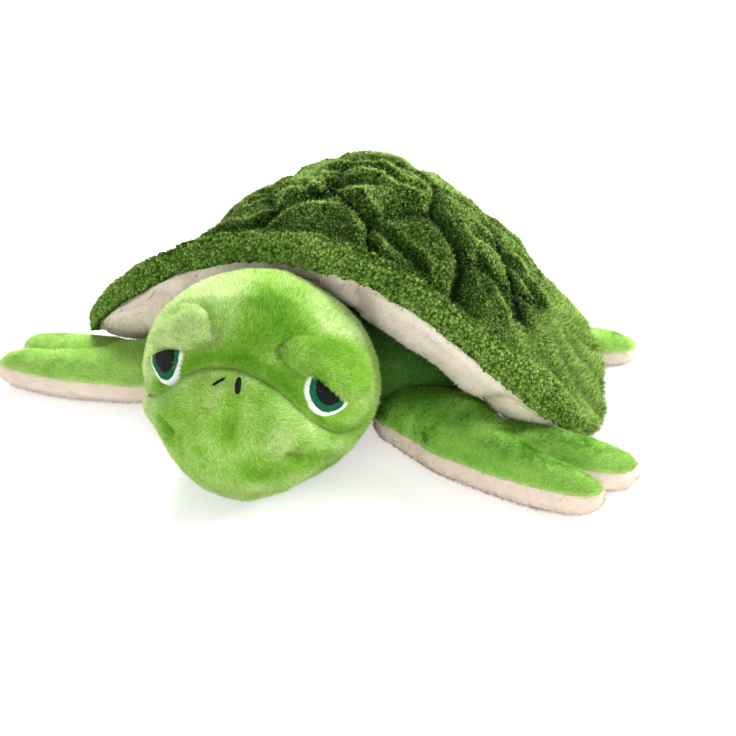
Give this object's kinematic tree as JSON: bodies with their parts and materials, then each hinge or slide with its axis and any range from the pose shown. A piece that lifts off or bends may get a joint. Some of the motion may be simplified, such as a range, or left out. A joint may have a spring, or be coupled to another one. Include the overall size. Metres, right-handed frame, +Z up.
{
  "type": "plush turtle",
  "caption": "Stuffed toy sea turtle lying on its belly: curly domed shell with a padded brim, round drowsy head on a soft neck, mitten flippers and a short tail.",
  "frame": {"origin": "on the floor under the middle of the bounding box", "axes": "+Z up from the belly, the head points along -Y, +X is the toy's own left"},
  "size_m": [0.3848, 0.3554, 0.1353],
  "materials": {
    "curl_pile": "curly pile, matte",
    "cream_plush": "short plush, matte",
    "lime_plush": "short plush, matte",
    "leaf_plush": "short plush, matte",
    "dark_plush": "short plush, matte",
    "wadding": "loose fibre, matte",
    "white_thread": "satin stitch",
    "green_thread": "satin stitch",
    "black_thread": "satin stitch"
  },
  "bodies": {
    "body": {"body_back_panel": "dark_plush", "body_belly_panel": "cream_plush", "body_filling": "wadding", "shell_dome_cover": "curl_pile", "shell_filling": "wadding", "brim_cover": "curl_pile", "brim_lining": "cream_plush", "brim_filling": "wadding"},
    "neck": {"neck_sleeve": "leaf_plush", "neck_filling": "wadding"},
    "head": {"head_face_panel": "lime_plush", "muzzle_panel": "lime_plush", "chin_panel": "lime_plush", "head_filling": "wadding", "left_brow_pad": "lime_plush", "left_eye_white": "white_thread", "left_iris": "green_thread", "left_pupil": "black_thread", "left_nostril_stitch": "black_thread", "right_brow_pad": "lime_plush", "right_eye_white": "white_thread", "right_iris": "green_thread", "right_pupil": "black_thread", "right_nostril_stitch": "black_thread"},
    "left_front_flipper": {"left_front_flipper_top": "leaf_plush", "left_front_flipper_sole": "cream_plush", "left_front_flipper_filling": "wadding"},
    "left_rear_flipper": {"left_rear_flipper_top": "leaf_plush", "left_rear_flipper_sole": "cream_plush", "left_rear_flipper_filling": "wadding"},
    "right_front_flipper": {"right_front_flipper_top": "leaf_plush", "right_front_flipper_sole": "cream_plush", "right_front_flipper_filling": "wadding"},
    "right_rear_flipper": {"right_rear_flipper_top": "leaf_plush", "right_rear_flipper_sole": "cream_plush", "right_rear_flipper_filling": "wadding"},
    "tail": {"tail_top": "leaf_plush", "tail_underside": "cream_plush", "tail_filling": "wadding"}
  },
  "joints": [
    {"name": "neck_turn", "type": "hinge", "parent": "body", "child": "neck", "pos_m": [0.009, -0.06223, 0.046], "axis": [0, 0, 1], "range_deg": [-12, 12], "stiffness_Nm_per_rad": 0.1},
    {"name": "head_nod", "type": "hinge", "parent": "neck", "child": "head", "pos_m": [0.009, -0.06223, 0.046], "axis": [1, 0, 0], "range_deg": [-8, 0]},
    {"name": "left_front_sweep", "type": "hinge", "parent": "body", "child": "left_front_flipper", "pos_m": [0.068, -0.04223, 0.014], "axis": [0, 0, 1], "range_deg": [-25, 5], "stiffness_Nm_per_rad": 0.05},
    {"name": "right_front_sweep", "type": "hinge", "parent": "body", "child": "right_front_flipper", "pos_m": [-0.068, -0.04223, 0.014], "axis": [0, 0, 1], "range_deg": [-8, 25], "stiffness_Nm_per_rad": 0.05},
    {"name": "left_rear_sweep", "type": "hinge", "parent": "body", "child": "left_rear_flipper", "pos_m": [0.08, 0.09977, 0.009], "axis": [0, 0, 1], "range_deg": [-15, 15], "stiffness_Nm_per_rad": 0.05},
    {"name": "right_rear_sweep", "type": "hinge", "parent": "body", "child": "right_rear_flipper", "pos_m": [-0.08, 0.09977, 0.009], "axis": [0, 0, 1], "range_deg": [-15, 15], "stiffness_Nm_per_rad": 0.05},
    {"name": "tail_wag", "type": "hinge", "parent": "body", "child": "tail", "pos_m": [0, 0.12777, 0.006], "axis": [0, 0, 1], "range_deg": [-20, 20], "stiffness_Nm_per_rad": 0.01}
  ]
}
